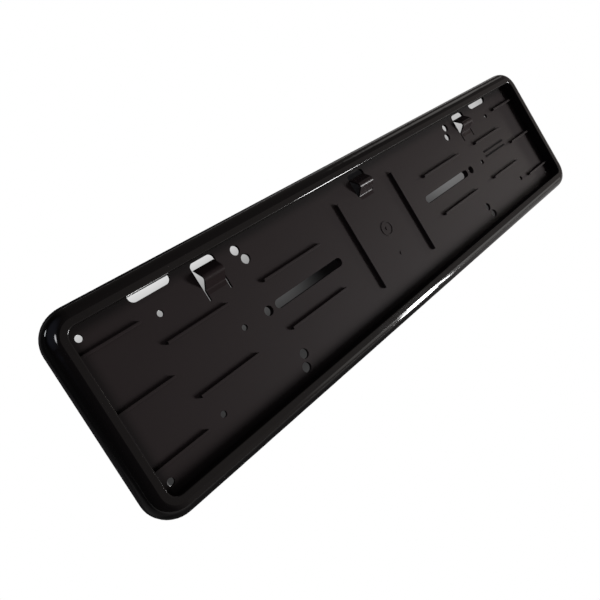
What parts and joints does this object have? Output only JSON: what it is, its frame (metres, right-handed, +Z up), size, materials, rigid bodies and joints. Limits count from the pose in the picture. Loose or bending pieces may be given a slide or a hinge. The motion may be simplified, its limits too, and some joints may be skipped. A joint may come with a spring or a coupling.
{
  "type": "number plate holder",
  "caption": "Moulded car number plate holder: a shallow tray with plate ribs, spring tongues, screw slots and holes, inside a rounded hollow rim.",
  "frame": {"origin": "middle of the back plane, between the two long screw slots, where the holder lies against the bumper", "axes": "+X along the plate, to the right as seen from the front; +Y back towards the bumper, so the front faces -Y; +Z up"},
  "size_m": [0.551, 0.0147, 0.1414],
  "materials": {
    "black_plastic": "black moulded plastic, satin on the tray floor and glossy on the rim"
  },
  "bodies": {
    "root": {"plate_holder": "black_plastic"}
  },
  "joints": []
}
